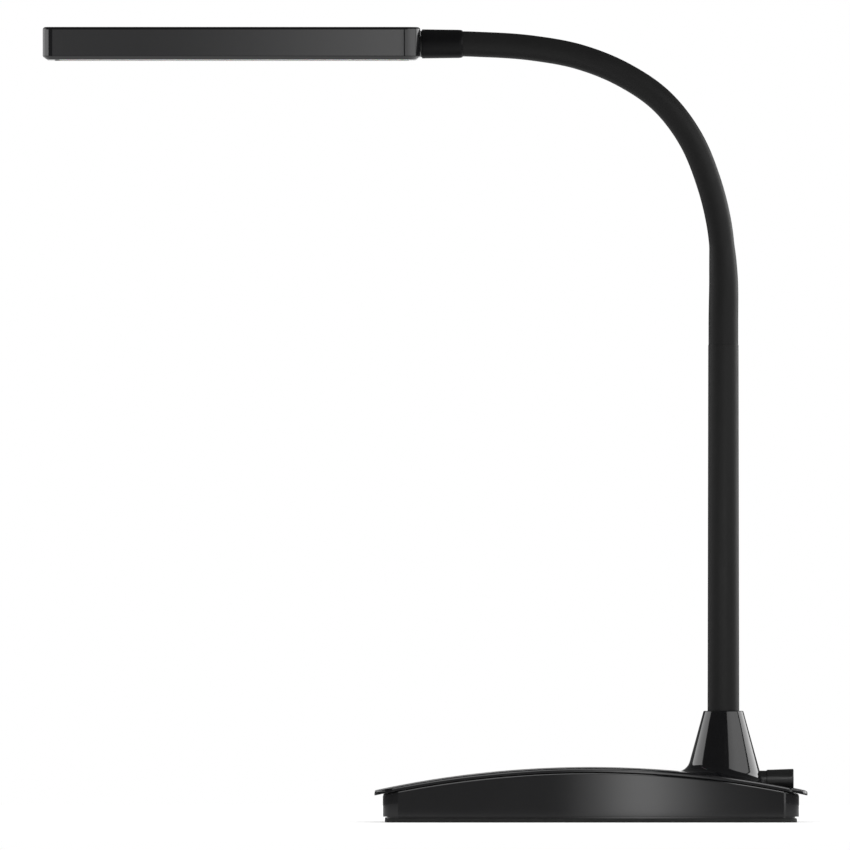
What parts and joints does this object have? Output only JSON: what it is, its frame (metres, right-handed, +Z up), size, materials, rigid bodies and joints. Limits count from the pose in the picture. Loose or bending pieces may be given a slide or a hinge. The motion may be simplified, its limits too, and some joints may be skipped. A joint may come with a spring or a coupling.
{
  "type": "gooseneck desk lamp",
  "caption": "Desk lamp: flat light bar on a flexible gooseneck over a rigid stem, with a crowned, weighted base.",
  "frame": {"origin": "middle of the base's underside, on the surface that the lamp stands on", "axes": "+Z up, -X towards the head, +X towards the base's rear edge and its power inlet, +Y across"},
  "size_m": [0.3459, 0.1, 0.3599],
  "materials": {
    "gloss_black_abs": "high gloss, moulded",
    "satin_black_abs": "fine satin, moulded",
    "soft_touch_coat": "matt soft-touch coating on steel tube",
    "neck_rubber": "matt silicone sleeve",
    "matt_black_abs": "matt, fine texture",
    "black_acetal": "turned",
    "mat_rubber": "fine grained sheet",
    "zinc_steel": "zinc plated",
    "turned_steel": "turned",
    "coil_steel": "drawn wire",
    "ballast_steel": "hot rolled, oiled",
    "opal_acrylic": "opal sheet, silk face",
    "white_reflector": "white polycarbonate",
    "sheet_aluminium": "mill finish",
    "lamp_board": "white solder mask on aluminium",
    "lamp_phosphor": "phosphor in white packages",
    "circuit_board": "glass-epoxy with green mask",
    "component_black": "moulded epoxy",
    "socket_nylon": "natural nylon",
    "contact_brass": "nickel flashed",
    "lead_pvc": "smooth PVC"
  },
  "bodies": {
    "base": {"base_cover": "gloss_black_abs", "base_tray": "satin_black_abs", "foot_mat": "mat_rubber", "ballast_plate": "ballast_steel", "ballast_screws": "zinc_steel", "cover_screws": "zinc_steel", "control_board": "circuit_board", "board_screws": "zinc_steel", "board_parts": "component_black", "lead_sockets": "socket_nylon", "touch_key": "gloss_black_abs", "touch_column": "mat_rubber", "inlet_body": "matt_black_abs", "inlet_pin": "contact_brass", "inlet_contact": "contact_brass", "inlet_lead": "lead_pvc", "stem_tube": "soft_touch_coat", "stem_flange": "zinc_steel", "flange_screws": "zinc_steel", "stem_lead": "lead_pvc", "neck_root_ferrule": "turned_steel", "neck_root_boot": "neck_rubber"},
    "neck_link_01": {"neck_sleeve_01": "neck_rubber", "neck_core_01": "coil_steel"},
    "neck_link_02": {"neck_sleeve_02": "neck_rubber", "neck_core_02": "coil_steel"},
    "neck_link_03": {"neck_sleeve_03": "neck_rubber", "neck_core_03": "coil_steel"},
    "neck_link_04": {"neck_sleeve_04": "neck_rubber", "neck_core_04": "coil_steel"},
    "neck_link_05": {"neck_sleeve_05": "neck_rubber", "neck_core_05": "coil_steel"},
    "neck_link_06": {"neck_sleeve_06": "neck_rubber", "neck_core_06": "coil_steel"},
    "neck_link_07": {"neck_sleeve_07": "neck_rubber", "neck_core_07": "coil_steel"},
    "neck_link_08": {"neck_sleeve_08": "neck_rubber", "neck_core_08": "coil_steel"},
    "neck_link_09": {"neck_sleeve_09": "neck_rubber", "neck_core_09": "coil_steel"},
    "neck_end": {"neck_end_sleeve": "neck_rubber", "neck_end_ferrule": "turned_steel", "neck_collar": "matt_black_abs", "swivel_spigot": "turned_steel", "swivel_spacer": "black_acetal", "swivel_spring_washer": "zinc_steel", "swivel_nut": "zinc_steel"},
    "head": {"swivel_bush": "black_acetal", "head_housing": "gloss_black_abs", "head_bezel": "gloss_black_abs", "diffuser": "opal_acrylic", "reflector": "white_reflector", "led_board": "lamp_board", "led_chips": "lamp_phosphor", "heat_spreader": "sheet_aluminium", "head_screws": "zinc_steel", "head_socket": "socket_nylon", "head_lead": "lead_pvc"}
  },
  "joints": [
    {"name": "neck_lower_bend", "type": "hinge", "parent": "base", "child": "neck_link_01", "pos_m": [0.0602, 0, 0.22676], "axis": [0, -1, 0], "range_deg": [-20, 12]},
    {"name": "neck_side_bend", "type": "hinge", "parent": "neck_link_01", "child": "neck_link_02", "pos_m": [0.0602, 0, 0.2481], "axis": [0.9992, 0, 0.04], "range_deg": [-15, 15]},
    {"name": "neck_lower_bend_2", "type": "hinge", "parent": "neck_link_02", "child": "neck_link_03", "pos_m": [0.05849, 0, 0.26936], "axis": [0, -1, 0], "range_deg": [-20, 12]},
    {"name": "neck_side_bend_2", "type": "hinge", "parent": "neck_link_03", "child": "neck_link_04", "pos_m": [0.05345, 0, 0.29008], "axis": [0.9498, 0, 0.3127], "range_deg": [-15, 15]},
    {"name": "neck_lower_bend_3", "type": "hinge", "parent": "neck_link_04", "child": "neck_link_05", "pos_m": [0.0452, 0, 0.30975], "axis": [0, -1, 0], "range_deg": [-20, 12]},
    {"name": "neck_upper_bend", "type": "hinge", "parent": "neck_link_05", "child": "neck_link_06", "pos_m": [0.03224, 0, 0.32669], "axis": [0, -1, 0], "range_deg": [-25, 12]},
    {"name": "neck_side_bend_3", "type": "hinge", "parent": "neck_link_06", "child": "neck_link_07", "pos_m": [0.01474, 0, 0.33889], "axis": [0.4746, 0, 0.8802], "range_deg": [-15, 15]},
    {"name": "neck_upper_bend_2", "type": "hinge", "parent": "neck_link_07", "child": "neck_link_08", "pos_m": [-0.00507, 0, 0.34681], "axis": [0, -1, 0], "range_deg": [-25, 12]},
    {"name": "neck_side_bend_4", "type": "hinge", "parent": "neck_link_08", "child": "neck_link_09", "pos_m": [-0.026, 0, 0.35088], "axis": [0.1333, 0, 0.9911], "range_deg": [-15, 15]},
    {"name": "neck_upper_bend_3", "type": "hinge", "parent": "neck_link_09", "child": "neck_end", "pos_m": [-0.04727, 0, 0.35248], "axis": [0, -1, 0], "range_deg": [-25, 12]},
    {"name": "head_swivel", "type": "hinge", "parent": "neck_end", "child": "head", "pos_m": [-0.07714, 0, 0.35248], "axis": [-1, 0, 0], "range_deg": [-90, 90]}
  ],
  "couplings": [
    {"joint": "neck_lower_bend_2", "follows": "neck_lower_bend", "ratio": 1},
    {"joint": "neck_side_bend_2", "follows": "neck_side_bend", "ratio": 1},
    {"joint": "neck_lower_bend_3", "follows": "neck_lower_bend", "ratio": 1},
    {"joint": "neck_side_bend_3", "follows": "neck_side_bend", "ratio": 1},
    {"joint": "neck_upper_bend_2", "follows": "neck_upper_bend", "ratio": 1},
    {"joint": "neck_side_bend_4", "follows": "neck_side_bend", "ratio": 1},
    {"joint": "neck_upper_bend_3", "follows": "neck_upper_bend", "ratio": 1}
  ]
}
